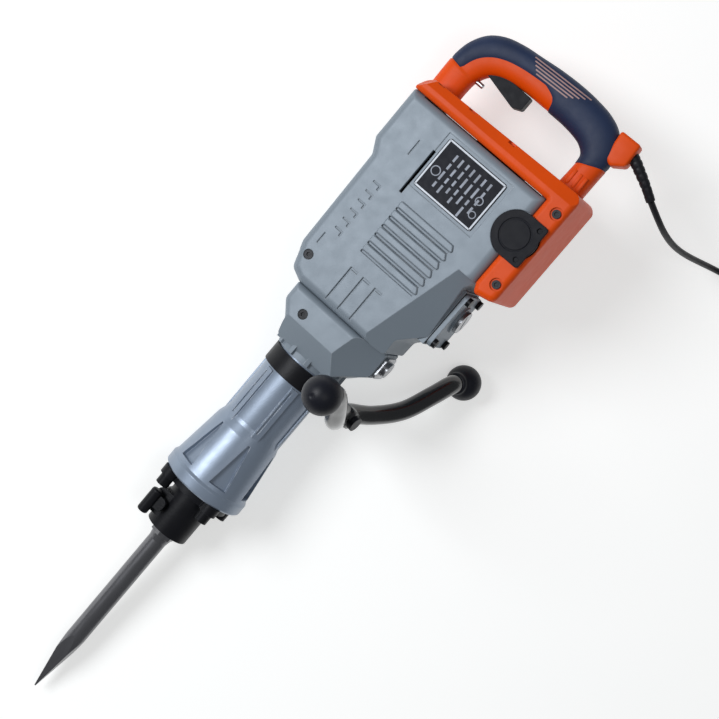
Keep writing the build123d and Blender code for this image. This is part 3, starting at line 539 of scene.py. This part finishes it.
def make_bar():
    """The bent tube, and the hub in its middle that the clamp's bolt goes through."""
    line = smooth_line([Vector(p) for p in BAR_LINE], BAR_STEPS)
    rings = []
    for k, p in enumerate(line):
        a, b = line[max(k - 1, 0)], line[min(k + 1, len(line) - 1)]
        here = side_handle_place(*p[:3])
        heading = (side_handle_place(*b[:3]) - side_handle_place(*a[:3])).normalized()
        u = heading.cross(AXIS).normalized()
        v = heading.cross(u)
        r = p[3] / 1000
        rings.append([here + (u * cos(j) * 1.02 + v * sin(j)) * r for j in angles(BAR_SIDES)])
    bm = bmesh.new()
    add_loft(bm, rings)
    out = side_handle_place(HUB_TO, 0, BAND_MIDDLE) - side_handle_place(HUB_FROM, 0, BAND_MIDDLE)
    add_loft(bm, spin_rings(side_handle_place(HUB_FROM + 0.4, 0, BAND_MIDDLE), out, HUB_PROFILE))
    bar = mesh_object("side_handle_tube", bm, "side_handle", "black_plastic", "gloss_black")
    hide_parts("side_handle_bar")


def make_knobs():
    """A ball grip at each end of the bar, with a neck and a shallow end dimple."""
    ball = [radians(-52 + 134 * k / BALL_STEPS) for k in range(BALL_STEPS + 1)]
    profile = KNOB_NECK + [(BALL_RADIUS * sin(a), BALL_RADIUS * cos(a)) for a in ball] + KNOB_DIMPLE
    bm = bmesh.new()
    for s in (-1, 1):
        centre = side_handle_place(KNOB_X, s * KNOB_AT, KNOB_Z)
        out = (side_handle_place(KNOB_X, s * (KNOB_AT + 1), KNOB_Z) - centre).normalized()
        add_loft(bm, spin_rings(centre, out, profile, 48))
    knobs = mesh_object("side_handle_grips", bm, "side_handle", "black_plastic", "knob_black")
    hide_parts("side_handle_knobs")


make_bar()
make_knobs()


# ---- rating plate -----------------------------------------------------------------------------
PLATE_FACE = -70.4
PLATE_X, PLATE_Z, BORDER = (-25, 66), (833, 903), 2.2
BAR_ROWS, BAR_WIDTH, BAR_GAP = 7, 3.0, 3.5
MARK_RINGS = ((-14, 862, 6.5), (52, 868, 5.5), (56, 850, 5.0))  # (x, z, radius)
RING_WIDTH = 1.3


def oblong(x0, z0, x1, z1):
    return [(x0, z0), (x1, z0), (x1, z1), (x0, z1)]


def make_plate_print():
    """A pale border and plain generic marks: bars and rings, with no lettering."""
    (x0, x1), (z0, z1) = PLATE_X, PLATE_Z
    border, marks = bmesh.new(), bmesh.new()
    for side in ((x0, z0, x1, z0 + BORDER), (x0, z1 - BORDER, x1, z1),
                 (x0, z0, x0 + BORDER, z1), (x1 - BORDER, z0, x1, z1)):
        add_plate(border, oblong(*side), PLATE_FACE - 0.25, PLATE_FACE + 0.2)
    rng = random.Random(7)
    for row in range(BAR_ROWS):
        x = -6 + 9.2 * row
        z = 893
        while z > 848:
            run = rng.uniform(7, 15)
            add_plate(marks, oblong(x, z - run, x + BAR_WIDTH, z), PLATE_FACE - 0.15, PLATE_FACE + 0.2)
            z -= run + BAR_GAP
    near, far = PLATE_FACE + 0.2, PLATE_FACE - 0.2
    for x, z, r in MARK_RINGS:
        inner = r - RING_WIDTH
        rings = [[tool(x + q * cos(a), y, z + q * sin(a)) for a in angles(24)]
                 for q, y in ((r, near), (r, far), (inner, far), (inner, near))]
        add_loft(marks, rings, closed=True)
    mesh_object("plate_border", border, "housing", "plate_black", "plate_print", smooth=False)
    mesh_object("plate_marks", marks, "housing", "plate_black", "plate_mark", smooth=False)


make_plate_print()


# ---- stage ------------------------------------------------------------------------------------
FLOOR_REACH, FLOOR_DROP, FLOOR_GLOW = 6, 0.0004, 0.50


def make_stage():
    """A pale floor that glows a little, so that it reads as the photograph's plain white."""
    far = FLOOR_REACH
    data = bpy.data.meshes.new("floor")
    data.from_pydata([(-far, -far, 0), (far, -far, 0), (far, far, 0), (-far, far, 0)], [], [(0, 1, 2, 3)])
    floor = bpy.data.objects.new("floor", data)
    bpy.context.scene.collection.objects.link(floor)
    n = Nodes("floor")
    tone = n.mix(n.noise(3.0, 2.0), linear(226, 227, 226), linear(230, 230, 228))
    n.link(tone, "Base Color")
    n.shader.inputs["Roughness"].default_value = 0.9
    n.shader.inputs["Emission Color"].default_value = (1, 1, 0.99, 1)
    n.shader.inputs["Emission Strength"].default_value = FLOOR_GLOW
    data.materials.append(n.material)
    floor.location.z = -FLOOR_DROP


def area_light(name, where, aim, size, power, colour):
    data = bpy.data.lights.new(name, "AREA")
    data.shape = "DISK"
    data.size = size
    data.energy = power
    data.color = colour
    lamp = bpy.data.objects.new(name, data)
    bpy.context.scene.collection.objects.link(lamp)
    lamp.location = where
    lamp.rotation_euler = (Vector(aim) - Vector(where)).to_track_quat("-Z", "Y").to_euler()


def make_light():
    """A big soft key from the photograph's upper left, a little cool, over an even studio."""
    world = bpy.data.worlds.new("studio")
    world.use_nodes = True
    background = world.node_tree.nodes["Background"].inputs
    background["Color"].default_value = (0.93, 0.96, 1.0, 1)
    background["Strength"].default_value = 0.22
    bpy.context.scene.world = world
    area_light("key", (-0.1, 2.3, 2.3), (0, 0.05, 0.1), 1.3, 62, (0.95, 0.97, 1.0))
    area_light("top", (0.3, -0.2, 3.2), (0, 0, 0.1), 1.2, 9, (1.0, 0.99, 0.97))
    bpy.context.scene.view_settings.view_transform = "Standard"


make_stage()
make_light()

bpy.context.view_layer.update()
